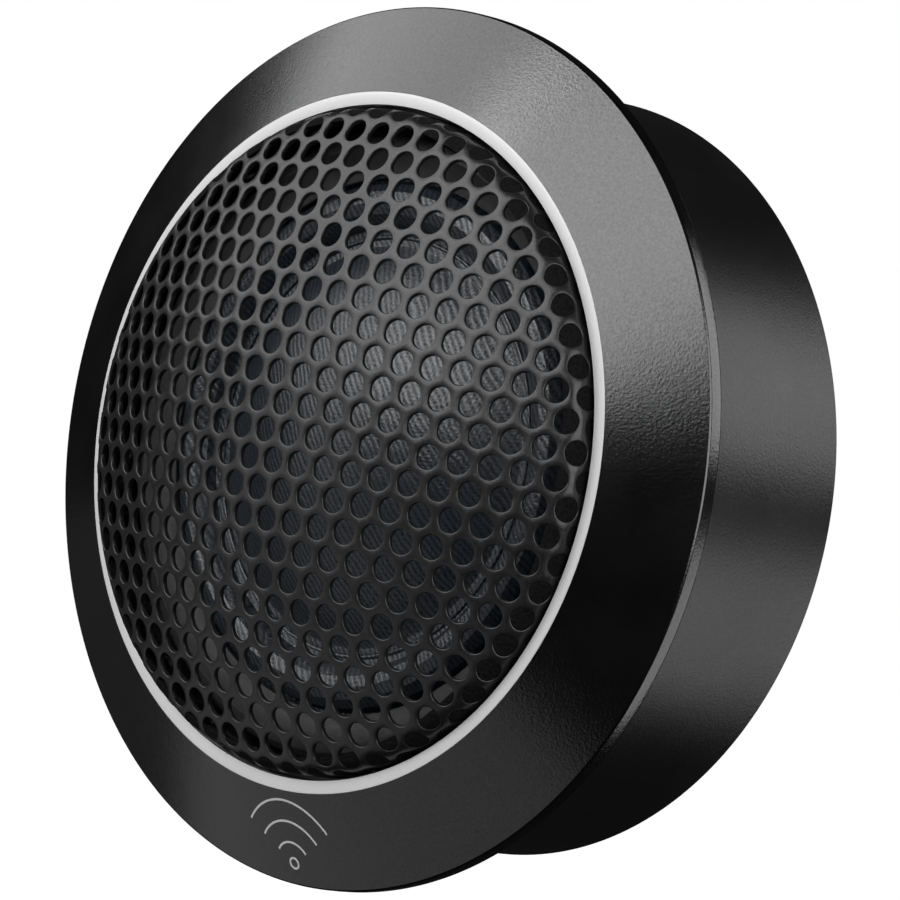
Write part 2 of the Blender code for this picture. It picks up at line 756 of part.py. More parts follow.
def coil_leads(parts, material):
    """The coil's own fine leads, which flex under the surround."""
    reach = TAG_INNER_RADIUS + TAG_WIDTH / 2
    start = FORMER_INNER_RADIUS + FORMER_WALL + BOND + COIL_WALL / 2
    under_ring = (RING_REAR + TAG_TOP) / 2
    for key, side in SIDES.items():
        route = [
            lead_point(start, COIL_TOP + 1.5 * BOND, side),
            lead_point(start + 2.0 * TOUCH, -2.0 * TOUCH, side),
            lead_point((start + RING_INNER_RADIUS) / 2 + TOUCH, -BOND, side),
            lead_point(RING_INNER_RADIUS - 1.5 * TOUCH, -2.0 * TOUCH, side),
            lead_point(RING_INNER_RADIUS, under_ring, side),
            lead_point(reach, under_ring, side),
        ]
        wire("coil_lead_" + key, route, COIL_LEAD_RADIUS, parts, material)


def inner_leads(parts, material):
    """Insulated leads from the solder tags, back past the motor, to the terminal blades."""
    tag_bottom = TAG_TOP - TAG_THICKNESS
    tail = -BLADE_FRONT
    for key, side in SIDES.items():
        blade_end = Vector((side * BLADE_X, tail, BLADE_Z - LEAD_RADIUS - BLADE_THICKNESS))
        route = [
            lead_point(LEAD_CIRCLE, tag_bottom - TOUCH / 2, side),
            lead_point(LEAD_CIRCLE, CHASSIS_REAR, side),
            lead_point(LEAD_CIRCLE, (CHASSIS_REAR + SEAT_FRONT) / 2, side),
            lead_point(LEAD_CIRCLE, SEAT_FRONT, side),
            lead_point(LEAD_CIRCLE - 2.0 * LEAD_RADIUS, yoke_rear(), side),
            blade_end + Vector((0.0, 0.0, -4.0 * LEAD_RADIUS)),
            blade_end,
        ]
        wire("inner_lead_" + key, route, LEAD_RADIUS, parts, material[key])


# Assembly --------------------------------------------------------------------------------


def build():
    empty_scene()
    parts = new_collection("car_tweeter")
    cutters = new_collection("cutters")
    satin_black = new_material("satin_black_metal", (0.020, 0.021, 0.023), 0.42, 0.6)
    grille_black = new_material("powder_coated_steel", (0.030, 0.030, 0.032), 0.55, 0.3)
    bright_metal = new_material("bright_aluminium", (0.80, 0.81, 0.82), 0.35, 1.0)
    black_plastic = new_material("black_plastic", (0.025, 0.025, 0.027), 0.50, 0.0)
    black_rubber = new_material("black_foam_rubber", (0.015, 0.015, 0.016), 0.85, 0.0)
    silk = new_material("coated_silk", (0.045, 0.052, 0.062), 0.60, 0.0)
    felt = new_material("grey_felt", (0.16, 0.16, 0.16), 0.95, 0.0)
    bare_aluminium = new_material("bare_aluminium", (0.75, 0.75, 0.76), 0.40, 1.0)
    copper = new_material("copper", (0.72, 0.36, 0.20), 0.35, 1.0)
    steel = new_material("plated_steel", (0.50, 0.50, 0.51), 0.35, 1.0)
    nickel = new_material("nickel_plated_magnet", (0.66, 0.65, 0.62), 0.22, 1.0)
    tin = new_material("tinned_brass", (0.74, 0.68, 0.50), 0.30, 1.0)
    insulation = {
        "positive": new_material("red_insulation", (0.45, 0.03, 0.02), 0.50, 0.0),
        "negative": new_material("black_insulation", (0.02, 0.02, 0.02), 0.50, 0.0),
    }
    bezel_flange(parts, satin_black)
    trim_ring(parts, bright_metal)
    grille(parts, grille_black)
    grille_gasket(parts, black_rubber)
    faceplate(parts, cutters, black_plastic)
    dome(parts, silk)
    surround(parts, silk)
    diaphragm_ring(parts, black_plastic)
    voice_coil_former(parts, bare_aluminium)
    voice_coil(parts, copper)
    copper_cap(parts, copper)
    pole_plate(parts, steel)
    pole_damping_pad(parts, felt)
    magnet(parts, nickel)
    yoke_cup(parts, steel)
    motor_chassis(parts, cutters, black_plastic)
    driver_screws(parts, cutters, steel)
    chamber_foam(parts, cutters, black_rubber)
    rear_damping_pad(parts, felt)
    rear_housing(parts, cutters, satin_black)
    cover_seal(parts, black_rubber)
    rear_cover(parts, cutters, black_plastic)
    cover_screws(parts, cutters, steel)
    terminal_block(parts, cutters, black_plastic)
    terminal_blades(parts, cutters, tin)
    solder_tags(parts, tin)
    coil_leads(parts, copper)
    inner_leads(parts, insulation)


build()
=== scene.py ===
"""Looks of a flush-mount car tweeter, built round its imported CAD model.

The axis runs along Y, the grille faces -Y and +Z is up. A profile is a list of (radius, height)
points, where height is the distance in front of the flange's seat, so it grows towards -Y.
"""

import json
import math

import bmesh
import bpy
from mathutils import Matrix, Vector

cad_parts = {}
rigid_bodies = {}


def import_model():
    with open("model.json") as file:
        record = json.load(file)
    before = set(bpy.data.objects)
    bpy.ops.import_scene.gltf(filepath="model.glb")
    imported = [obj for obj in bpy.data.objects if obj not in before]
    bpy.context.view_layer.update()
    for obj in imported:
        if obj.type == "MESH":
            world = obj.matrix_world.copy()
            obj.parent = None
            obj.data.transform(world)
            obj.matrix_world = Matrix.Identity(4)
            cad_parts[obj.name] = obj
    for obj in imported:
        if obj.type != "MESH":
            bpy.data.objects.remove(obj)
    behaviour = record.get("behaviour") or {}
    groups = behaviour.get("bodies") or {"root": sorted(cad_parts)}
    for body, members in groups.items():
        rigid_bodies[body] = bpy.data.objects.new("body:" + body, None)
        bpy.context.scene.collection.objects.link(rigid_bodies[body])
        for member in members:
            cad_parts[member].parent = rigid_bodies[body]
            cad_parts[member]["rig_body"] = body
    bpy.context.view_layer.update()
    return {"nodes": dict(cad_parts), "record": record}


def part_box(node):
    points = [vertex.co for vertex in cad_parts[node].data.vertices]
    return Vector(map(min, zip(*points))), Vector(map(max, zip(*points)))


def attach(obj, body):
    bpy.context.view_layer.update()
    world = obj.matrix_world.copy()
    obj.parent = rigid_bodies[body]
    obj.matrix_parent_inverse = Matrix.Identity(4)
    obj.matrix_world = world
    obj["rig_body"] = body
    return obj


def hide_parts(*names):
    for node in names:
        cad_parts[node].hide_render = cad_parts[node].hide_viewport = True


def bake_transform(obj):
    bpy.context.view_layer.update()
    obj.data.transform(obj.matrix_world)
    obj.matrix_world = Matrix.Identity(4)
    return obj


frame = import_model()
NODES = frame["nodes"]

MM = 0.001
WELD = 0.002 * MM

# Camera
CAMERA_AZIMUTH = 43.58
CAMERA_ELEVATION = -0.22
CAMERA_ROLL = 9.42
CAMERA_DISTANCE = 353.9 * MM
CAMERA_AIM = Vector((3.17, 2.54, 0.57)) * MM
LENS = 233.0
SENSOR = 36.0

# Turned pieces
FINE_STEPS = 288
INNER_STEPS = 144
SHARP_TURN = 25.0  # an outline's corner turns by at least this many degrees
CURVE_PARTS = 4
CORNER_PARTS = 3

# Grille: an outer dome, a tight shoulder and a skirt, with a hexagonal pattern of round holes
GRILLE_DOME_RADIUS = 43.1 * MM
GRILLE_SHOULDER = 1.2 * MM
GRILLE_SKIRT_RADIUS = 20.25 * MM
GRILLE_SHEET = 0.32 * MM
HOLE_PITCH = 2.024 * MM
HOLE_RADIUS = 0.765 * MM
HOLE_SHIFT = (-0.33 * MM, -0.005 * MM)
HOLE_STRETCH = 1.0065  # the pattern is a little wider than a regular one
HOLE_TURN = math.radians(-0.42)
HOLE_EDGE = 0.065 * MM
HOLE_INNER_EDGE = 0.04 * MM
HOLE_STEPS = 24
GRILLE_REACH = 23.6 * MM  # furthest hole centre from the apex, along the sheet
SHADE_SHEET_START = 20.1 * MM  # where the near-black sheet behind the shoulder begins, along the sheet: painted shade in the holes there
SHADE_SHEET_INSET = 0.04 * MM
SHADE_SHEET_WALL = 0.4 * MM
SHADE_SHEET_FOOT = 3.0 * MM
SHADE_SHEET_STEP = 0.1 * MM

# Flange, bright ring and housing
RIM_ROUND = 0.16 * MM
RIM_ZONE = 1.0 * MM  # only corners this near the rim are rounded well
RING_CLEARANCE = 0.001 * MM
HOUSING_LIP = -0.03 * MM

# Engraved mark at the bottom of the cone
MARK_RADII = (1.4 * MM, 2.8 * MM, 4.2 * MM)
MARK_HALF_ANGLE = 58.0
MARK_LINE = 0.14 * MM
MARK_LIFT = 0.012 * MM
MARK_DOT = 0.42 * MM
MARK_DROP = 1.75 * MM  # from the middle of the cone towards the rim
MARK_DEPTH = 0.05 * MM

# Diaphragm
SURROUND_SECTORS = 16
BEAD_RADIUS = 0.13 * MM
BEAD_STEPS = 12
THREAD_LEAN = math.radians(38.0)
WARP_PITCH = 0.37
WEFT_PITCH = 0.30

# Back
SHARP_EDGE = 35.0
POLARITY_SIZE = 2.4 * MM
POLARITY_LINE = 0.55 * MM
POLARITY_RAISE = 0.15 * MM
POLARITY_GAP = 2.2 * MM

# Surroundings
AMBIENT_STRENGTH = 0.012
FLOOR_HALF_SIDE = 4.0
FLOOR_HEIGHT = -0.08


# Turned shapes ---------------------------------------------------------------------------


def section(node):
    """The CAD node's outline in the half-plane Z = 0, X > 0, running down its outer side."""
    work = bmesh.new()
    work.from_mesh(NODES[node].data)
    bmesh.ops.remove_doubles(work, verts=work.verts, dist=WELD)
    everything = work.verts[:] + work.edges[:] + work.faces[:]
    cut = bmesh.ops.bisect_plane(
        work, geom=everything, plane_co=(0.0, 0.0, 0.0), plane_no=(0.0, 0.0, 1.0), dist=WELD
    )
    neighbours = {}
    for edge in cut["geom_cut"]:
        if isinstance(edge, bmesh.types.BMEdge) and all(v.co.x > -WELD for v in edge.verts):
            first, second = edge.verts
            neighbours.setdefault(first, []).append(second)
            neighbours.setdefault(second, []).append(first)
    ends = [v for v, others in neighbours.items() if len(others) == 1]
    start = min(ends, key=lambda v: v.co.y) if ends else max(neighbours, key=lambda v: v.co.x)
    path = [start]
    while True:
        following = [v for v in neighbours[path[-1]] if v not in path]
        if not following:
            break
        path.append(following[0])
    points = [(max(v.co.x, 0.0), -v.co.y) for v in path]
    work.free()
    points = without_straight(points, closed=not ends)
    return points if ends or signed_area(points) < 0.0 else points[::-1]


def signed_area(points):
    """Positive where the outline runs anticlockwise, with radius to the right and height up."""
    return sum(a[0] * b[1] - b[0] * a[1] for a, b in zip(points, points[1:] + points[:1])) / 2.0


def without_straight(points, closed):
    """The outline without the points that lie on a straight line between their neighbours."""
    kept = []
    count = len(points)
    for i, point in enumerate(points):
        if not closed and i in (0, count - 1):
            kept.append(point)
            continue
        before = Vector(points[i - 1])
        after = Vector(points[(i + 1) % count])
        chord = after - before
        away = Vector(point) - before
        area = abs(chord.x * away.y - chord.y * away.x)
        if chord.length < WELD or area / chord.length > WELD:
            kept.append(point)
    return kept


def rounded(points, radius, closed=True, beyond=0.0):
    """The outline with an arc at each sharp corner whose radius lies beyond a given one."""
    result = []
    count = len(points)
    for i, point in enumerate(points):
        corner = Vector(point)
        if point[0] < beyond or (not closed and i in (0, count - 1)):
            result.append(point)
            continue
        into = Vector(points[i - 1]) - corner
        out = Vector(points[(i + 1) % count]) - corner
        turn = math.pi - into.angle(out)
        if math.degrees(turn) < SHARP_TURN:
            result.append(point)
            continue
        reach = min(radius * math.tan(turn / 2.0), 0.45 * into.length, 0.45 * out.length)
        start = corner + into.normalized() * reach
        end = corner + out.normalized() * reach
        for k in range(CORNER_PARTS + 1):
            t = k / CORNER_PARTS
            mixed = start * (1.0 - t) ** 2 + corner * 2.0 * t * (1.0 - t) + end * t**2
            result.append((mixed.x, mixed.y))
    return result


def refined(points, closed=True):
    """The outline with its gently turning runs drawn as curves, which never swing past their ends."""
    count = len(points)
    places = [Vector(point) for point in points]
    gentle = []
    for i in range(count):
        into = places[i] - places[i - 1]
        out = places[(i + 1) % count] - places[i]
        inside = closed or 0 < i < count - 1
        gentle.append(inside and math.degrees(into.angle(out)) < SHARP_TURN)
    result = []
    for i in range(count if closed else count - 1):
        k = (i + 1) % count
        result.append(points[i])
        if not gentle[i] and not gentle[k]:
            continue
        first, second = places[i], places[k]
        span = (second - first).length
        before = places[i - 1] if gentle[i] else first
        after = places[(k + 1) % count] if gentle[k] else second
        leaving = (second - before).normalized() * span
        arriving = (after - first).normalized() * span
        for step in range(1, CURVE_PARTS):
            t = step / CURVE_PARTS
            place = first * (2.0 * t**3 - 3.0 * t**2 + 1.0) + leaving * (t**3 - 2.0 * t**2 + t)
            place = place + second * (3.0 * t**2 - 2.0 * t**3) + arriving * (t**3 - t**2)
            result.append((place.x, place.y))
    return result if closed else [*result, points[-1]]


def at(radius, angle, height):
    """The point at a radius, an angle in radians from +X towards +Z, and a height."""
    return Vector((radius * math.cos(angle), -height, radius * math.sin(angle)))


def new_piece(name, work, material, sharp=40.0, weighted=True):
    """An object of the finished bmesh, shaded smooth except at its sharp edges."""
    bmesh.ops.remove_doubles(work, verts=work.verts, dist=WELD / 10.0)
    bmesh.ops.recalc_face_normals(work, faces=work.faces)
    mesh = bpy.data.meshes.new(name)
    work.to_mesh(mesh)
    work.free()
    mesh.shade_smooth()
    mesh.set_sharp_from_angle(angle=math.radians(sharp))
    mesh.materials.append(material)
    obj = bpy.data.objects.new(name, mesh)
    bpy.context.scene.collection.objects.link(obj)
    if weighted:
        obj.modifiers.new("flat_faces", "WEIGHTED_NORMAL").keep_sharp = True
    return obj


def turn(work, profile, steps, closed=True, start=0.0, end=360.0):
    """Adds a profile turned about the axis. An open profile has both its ends on the axis."""
    whole = end - start >= 360.0
    rings = []
    for i in range(steps if whole else steps + 1):
        angle = math.radians(start + (end - start) * i / steps)
        rings.append([work.verts.new(at(r, angle, h)) for r, h in profile])
    spans = zip(rings, rings[1:] + rings[:1]) if whole else zip(rings, rings[1:])
    last = len(profile) if closed else len(profile) - 1
    for first, second in spans:
        for j in range(last):
            k = (j + 1) % len(profile)
            work.faces.new((first[j], first[k], second[k], second[j]))


def turned(name, profile, material, steps=FINE_STEPS, closed=True):
    """A piece of one turned profile."""
    work = bmesh.new()
    turn(work, profile, steps, closed)
    return new_piece(name, work, material)


def is_closed(profile):
    """Whether the outline is a ring's, and not one that starts and ends on the axis."""
    return profile[0][0] > WELD or profile[-1][0] > WELD


def smooth_copy(name, node, material, edge, steps=FINE_STEPS, profile=None):
    """A finely turned piece with soft edges, which stands for a CAD node of the same section."""
    outline = profile or section(node)
    closed = is_closed(outline)
    obj = turned(name, rounded(refined(outline, closed), edge, closed), material, steps, closed)
    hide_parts(node)
    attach(obj, NODES[node]["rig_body"])


# Materials -------------------------------------------------------------------------------


def node_in(tree, kind, inputs, **settings):
    """A new shader node. An input takes a number, a colour or another node's output."""
    made = tree.nodes.new(kind)
    for key, value in settings.items():
        setattr(made, key, value)
    for key, value in inputs.items():
        if isinstance(value, bpy.types.NodeSocket):
            tree.links.new(value, made.inputs[key])
        else:
            made.inputs[key].default_value = value
    return made


def new_surface(name, roughness=0.5, metallic=0.0, **sockets):
    """A Principled material, its tree, its shader, and the object's own coordinates in mm."""
    material = bpy.data.materials.new(name)
    material.use_nodes = True
    tree = material.node_tree
    shader = tree.nodes["Principled BSDF"]
    shader.inputs["Roughness"].default_value = roughness
    shader.inputs["Metallic"].default_value = metallic
    for key, value in sockets.items():
        shader.inputs[key.replace("_", " ")].default_value = value
    place = node_in(tree, "ShaderNodeTexCoord", {}).outputs["Object"]
    scale = {0: place, "Scale": 1.0 / MM}
    mm = node_in(tree, "ShaderNodeVectorMath", scale, operation="SCALE").outputs[0]
    return material, tree, shader, mm


def noise(tree, vector, size, detail=2.0, roughness=0.5):
    """A noise between 0 and 1 whose lumps are about that many millimetres across."""
    inputs = {"Vector": vector, "Scale": 1.0 / size, "Detail": detail, "Roughness": roughness}
    return node_in(tree, "ShaderNodeTexNoise", inputs).outputs["Fac"]


def spread(tree, value, low, high, start=0.3, end=0.7):
    """A value that runs from start to end, stretched to run from low to high."""
    inputs = {"Value": value, "From Min": start, "From Max": end, "To Min": low, "To Max": high}
    return node_in(tree, "ShaderNodeMapRange", inputs).outputs[0]


def math_node(tree, operation, first, second=0.0):
    """The result of one sum, product or function."""
    return node_in(tree, "ShaderNodeMath", {0: first, 1: second}, operation=operation).outputs[0]


def tint(tree, shader, factor, dark, light):
    """The base colour, between a dark and a light one."""
    mix = tree.nodes.new("ShaderNodeMix")
    mix.data_type = "RGBA"
    tree.links.new(factor, mix.inputs[0])
    mix.inputs[6].default_value = (*dark, 1.0)
    mix.inputs[7].default_value = (*light, 1.0)
    tree.links.new(mix.outputs[2], shader.inputs["Base Color"])


def relief(tree, shader, height, depth, before=None):
    """Bumps of that depth in millimetres."""
    inputs = {"Height": height, "Distance": depth * MM, "Strength": 1.0}
    if before is not None:
        inputs["Normal"] = before
    normal = node_in(tree, "ShaderNodeBump", inputs).outputs["Normal"]
    tree.links.new(normal, shader.inputs["Normal"])
    return normal


def turned_lines(tree, mm, spacing):
    """Fine rings about the axis, as a lathe leaves them on a face."""
    parts = node_in(tree, "ShaderNodeSeparateXYZ", {"Vector": mm})
    x, z = parts.outputs["X"], parts.outputs["Z"]
    squares = math_node(tree, "ADD", math_node(tree, "MULTIPLY", x, x), math_node(tree, "MULTIPLY", z, z))
    radius = math_node(tree, "SQRT", squares)
    along = node_in(tree, "ShaderNodeCombineXYZ", {"X": radius, "Y": parts.outputs["Y"]})
    return noise(tree, along.outputs[0], spacing, 3.0, 0.6)


def flange_black():
    """Black anodised metal with a fine bead-blasted grain."""
    material, tree, shader, mm = new_surface("flange_black", 0.2, Specular_IOR_Level=0.82)
    cloud = noise(tree, mm, 5.0, 3.0)
    fine = noise(tree, mm, 0.17, 2.0, 0.6)
    tint(tree, shader, spread(tree, cloud, 0.0, 1.0), (0.0012, 0.0012, 0.0013), (0.0028, 0.0029, 0.0030))
    tree.links.new(spread(tree, fine, 0.78, 1.0), shader.inputs["Specular Tint"])
    tree.links.new(spread(tree, cloud, 0.17, 0.20), shader.inputs["Roughness"])
    relief(tree, shader, fine, 0.011)
    return material


def housing_black():
    """Turned and blasted: a grain drawn out round the can."""
    material, tree, shader, mm = new_surface("housing_black", 0.3, Specular_IOR_Level=0.58)
    cloud = noise(tree, mm, 6.0, 3.0)
    fine = noise(tree, mm, 0.16, 2.0, 0.6)
    lines = turned_lines(tree, mm, 0.12)
    tint(tree, shader, spread(tree, cloud, 0.0, 1.0), (0.0035, 0.0036, 0.0038), (0.0060, 0.0061, 0.0065))
    tree.links.new(spread(tree, fine, 0.76, 1.0), shader.inputs["Specular Tint"])
    tree.links.new(spread(tree, cloud, 0.29, 0.33), shader.inputs["Roughness"])
    first = relief(tree, shader, lines, 0.004)
    relief(tree, shader, fine, 0.014, first)
    return material


def grille_black():
    """Powder coat: slightly lumpy, semi-matte."""
    material, tree, shader, mm = new_surface("grille_black", 0.35, Specular_IOR_Level=0.50)
    lumps = noise(tree, mm, 0.35, 2.0)
    fine = noise(tree, mm, 0.12, 1.0)
    tint(tree, shader, spread(tree, lumps, 0.0, 1.0), (0.006, 0.006, 0.0063), (0.010, 0.010, 0.0104))
    tree.links.new(spread(tree, lumps, 0.32, 0.38), shader.inputs["Roughness"])
    tree.links.new(spread(tree, fine, 0.76, 1.0), shader.inputs["Specular Tint"])
    first = relief(tree, shader, lumps, 0.006)
    relief(tree, shader, fine, 0.006, first)
    return material


def bright_trim():
    """White satin trim with fine rings from the lathe."""
    material, tree, shader, mm = new_surface("bright_trim", 0.36, 0.25)
    lines = turned_lines(tree, mm, 0.05)
    cloud = noise(tree, mm, 2.5, 3.0)
    tint(tree, shader, spread(tree, lines, 0.0, 1.0), (0.58, 0.58, 0.58), (0.64, 0.64, 0.64))
    tree.links.new(spread(tree, cloud, 0.30, 0.40), shader.inputs["Roughness"])
    relief(tree, shader, lines, 0.0012)
    return material


def black_plastic():
    """Moulded plastic with a fine spark-eroded texture."""
    material, tree, shader, mm = new_surface("black_plastic", 0.50, Specular_IOR_Level=0.45)
    cells = noise(tree, mm, 0.18, 3.0, 0.6)
    flow = noise(tree, mm, 7.0, 2.0)
    tint(tree, shader, spread(tree, flow, 0.0, 1.0), (0.046, 0.046, 0.047), (0.060, 0.060, 0.062))
    tree.links.new(spread(tree, cells, 0.44, 0.58), shader.inputs["Roughness"])
    relief(tree, shader, cells, 0.008)
    return material


def foam_rubber():
    """Closed-cell foam: small pits. Near-black with little shine; on the sheet behind the grille this is
    painted shade inside the holes.
    """
    material, tree, shader, mm = new_surface("foam_rubber", 0.9, Specular_IOR_Level=0.06)
    inputs = {"Vector": mm, "Scale": 4.5}
    pits = node_in(tree, "ShaderNodeTexVoronoi", inputs).outputs["Distance"]
    tint(tree, shader, spread(tree, pits, 0.0, 1.0, 0.0, 0.6), (0.002, 0.002, 0.002), (0.006, 0.006, 0.006))
    relief(tree, shader, pits, 0.06)
    return material


def silk():
    """Plain-woven silk with a thin blue-black coating. The threads run askew of the grille's rows."""
    material, tree, shader, mm = new_surface("silk", 0.36, IOR=2.0, Specular_IOR_Level=0.68)
    drift = math_node(tree, "MULTIPLY", noise(tree, mm, 1.1, 2.0), 0.5)
    slub = noise(tree, mm, 0.17, 2.0)
    waves = []
    for turn_angle, pitch in ((THREAD_LEAN, WARP_PITCH), (THREAD_LEAN + math.pi / 2.0, WEFT_PITCH)):
        way = (math.cos(turn_angle), 0.0, math.sin(turn_angle))
        product = node_in(tree, "ShaderNodeVectorMath", {0: mm, 1: way}, operation="DOT_PRODUCT")
        across = product.outputs["Value"]
        phase = math_node(tree, "MULTIPLY", math_node(tree, "ADD", across, drift), 2.0 * math.pi / pitch)
        waves.append(math_node(tree, "SINE", phase))
    crossing = math_node(tree, "MULTIPLY", waves[0], waves[1])
    threads = math_node(tree, "ADD", waves[0], math_node(tree, "MULTIPLY", crossing, 0.5))
    uneven = math_node(tree, "ADD", threads, math_node(tree, "MULTIPLY", slub, 3.6))
    level = spread(tree, uneven, 0.0, 1.0, 0.0, 3.6)
    tint(tree, shader, level, (0.003, 0.006, 0.012), (0.022, 0.031, 0.045))
    tree.links.new(spread(tree, level, 0.42, 0.31, 0.0, 1.0), shader.inputs["Roughness"])
    tree.links.new(spread(tree, level, 0.22, 1.0, 0.0, 1.0), shader.inputs["Specular Tint"])
    relief(tree, shader, level, 0.02)
    return material


def felt():
    """Pressed wool: short fibres."""
    material, tree, shader, mm = new_surface("felt", 0.95, Sheen_Weight=0.3)
    stretched = node_in(tree, "ShaderNodeMapping", {"Vector": mm, "Scale": (1.0, 1.0, 4.0)}).outputs[0]
    fibres = noise(tree, stretched, 0.4, 4.0, 0.7)
    tint(tree, shader, spread(tree, fibres, 0.0, 1.0), (0.11, 0.11, 0.11), (0.22, 0.22, 0.22))
    relief(tree, shader, fibres, 0.05)
    return material


def plated(name, dark, light, roughness, size=0.8):
    """Plated metal with faint clouds and fine rings."""
    material, tree, shader, mm = new_surface(name, roughness, 1.0)
    cloud = noise(tree, mm, size, 4.0, 0.6)
    lines = turned_lines(tree, mm, 0.07)
    tint(tree, shader, spread(tree, cloud, 0.0, 1.0), dark, light)
    tree.links.new(spread(tree, cloud, roughness - 0.07, roughness + 0.09), shader.inputs["Roughness"])
    relief(tree, shader, lines, 0.0015)
    return material


def copper():
    """Lacquered copper, with lines as close as the windings of the coil."""
    material, tree, shader, mm = new_surface("copper", 0.34, 1.0, Coat_Weight=0.4)
    parts = node_in(tree, "ShaderNodeSeparateXYZ", {"Vector": mm})
    turns = math_node(tree, "SINE", math_node(tree, "MULTIPLY", parts.outputs["Y"], 2.0 * math.pi / 0.2))
    cloud = noise(tree, mm, 0.9, 3.0)
    tint(tree, shader, spread(tree, cloud, 0.0, 1.0), (0.60, 0.27, 0.14), (0.78, 0.40, 0.23))
    tree.links.new(spread(tree, cloud, 0.28, 0.42), shader.inputs["Roughness"])
    relief(tree, shader, turns, 0.01)
    return material


def insulation(name, dark, light):
    """A wire's soft plastic sleeve."""
    material, tree, shader, mm = new_surface(name, 0.45)
    cloud = noise(tree, mm, 0.6, 3.0)
    tint(tree, shader, spread(tree, cloud, 0.0, 1.0), dark, light)
    tree.links.new(spread(tree, cloud, 0.38, 0.52), shader.inputs["Roughness"])
    relief(tree, shader, cloud, 0.004)
    return material


def engraving():
    """Laser-etched lines: the pale, frosted metal under the anodising."""
    material, tree, shader, mm = new_surface("engraving", 0.55)
    pits = noise(tree, mm, 0.05, 2.0)
    tint(tree, shader, spread(tree, pits, 0.0, 1.0), (0.50, 0.50, 0.50), (0.66, 0.66, 0.66))
    relief(tree, shader, pits, 0.002)
    return material


MATERIALS = {
    "flange_black": flange_black(),
    "housing_black": housing_black(),
    "grille_black": grille_black(),
    "bright_trim": bright_trim(),
    "black_plastic": black_plastic(),
    "foam_rubber": foam_rubber(),
    "silk": silk(),
    "felt": felt(),
    "bare_aluminium": plated("bare_aluminium", (0.68, 0.68, 0.69), (0.80, 0.80, 0.81), 0.38),
    "copper": copper(),
    "plated_steel": plated("plated_steel", (0.42, 0.42, 0.43), (0.56, 0.56, 0.57), 0.32),
    "nickel": plated("nickel", (0.60, 0.59, 0.56), (0.70, 0.69, 0.66), 0.22),
    "tinned_brass": plated("tinned_brass", (0.62, 0.58, 0.46), (0.78, 0.73, 0.58), 0.30),
    "red_insulation": insulation("red_insulation", (0.38, 0.02, 0.015), (0.50, 0.035, 0.02)),
    "black_insulation": insulation("black_insulation", (0.014, 0.014, 0.014), (0.026, 0.026, 0.026)),
}
SLOTS = {part["node"]: part["material_slot"] for part in frame["record"]["subparts"]}


def finish_cad_nodes():
    """Gives every CAD node the finish of its slot."""
    for node, slot in SLOTS.items():
        mesh = NODES[node].data
        mesh.materials.clear()
        mesh.materials.append(MATERIALS[slot])


# Grille ----------------------------------------------------------------------------------


class Sheet:
    """The grille's outer side, as a radius, a height and a normal for each length along it."""

    def __init__(self, apex):
        self.centre = apex - GRILLE_DOME_RADIUS
        self.bend_radius = GRILLE_SKIRT_RADIUS - GRILLE_SHOULDER
        reach = GRILLE_DOME_RADIUS - GRILLE_SHOULDER
        self.bend_height = self.centre + math.sqrt(reach**2 - self.bend_radius**2)
        self.tangent = math.asin(self.bend_radius / reach)
        self.dome_length = GRILLE_DOME_RADIUS * self.tangent
        self.bend_length = GRILLE_SHOULDER * (math.pi / 2.0 - self.tangent)

    def outline(self, length):
        """(radius, height, outward part of the normal, forward part of the normal)."""
        if length <= self.dome_length:
            tilt = length / GRILLE_DOME_RADIUS
            radius = GRILLE_DOME_RADIUS * math.sin(tilt)
            height = self.centre + GRILLE_DOME_RADIUS * math.cos(tilt)
            return radius, height, math.sin(tilt), math.cos(tilt)
        beyond = length - self.dome_length
        if beyond <= self.bend_length:
            tilt = self.tangent + beyond / GRILLE_SHOULDER
            radius = self.bend_radius + GRILLE_SHOULDER * math.sin(tilt)
            height = self.bend_height + GRILLE_SHOULDER * math.cos(tilt)
            return radius, height, math.sin(tilt), math.cos(tilt)
        return GRILLE_SKIRT_RADIUS, self.bend_height - (beyond - self.bend_length), 1.0, 0.0

    def point(self, flat, depth):
        """Where a point of the flat sheet lies once the sheet is pressed, at a depth under its face."""
        length = math.hypot(*flat)
        radius, height, outward, forward = self.outline(length)
        angle = math.atan2(flat[1], flat[0]) + HOLE_TURN
        return at(radius - outward * depth, angle, height - forward * depth)


def hole_centres():
    """The hexagonal pattern, its rows level, out to the sheet's reach. Keys are grid places."""
    row_height = HOLE_PITCH * math.sqrt(3.0) / 2.0
    count = math.ceil(GRILLE_REACH / row_height) + 1
    centres = {}
    for row in range(-count, count + 1):
        for column in range(-2 * count, 2 * count + 1):
            x = HOLE_SHIFT[0] + (column + row / 2.0) * HOLE_PITCH * HOLE_STRETCH
            z = HOLE_SHIFT[1] + row * row_height
            if math.hypot(x, z) <= GRILLE_REACH:
                centres[(column, row)] = (x, z)
    return centres


def hole_rings():
    """(radius, depth) of the rings from the hexagon's face, over the hole's edge, to its back."""
    rings = []
    for i in range(3):
        turn_angle = math.radians(45.0 * i)
        out = HOLE_RADIUS + HOLE_EDGE * (1.0 - math.sin(turn_angle))
        rings.append((out, HOLE_EDGE * (1.0 - math.cos(turn_angle))))
    rings.append((HOLE_RADIUS, GRILLE_SHEET - HOLE_INNER_EDGE))
    rings.append((HOLE_RADIUS + HOLE_INNER_EDGE, GRILLE_SHEET))
    return rings


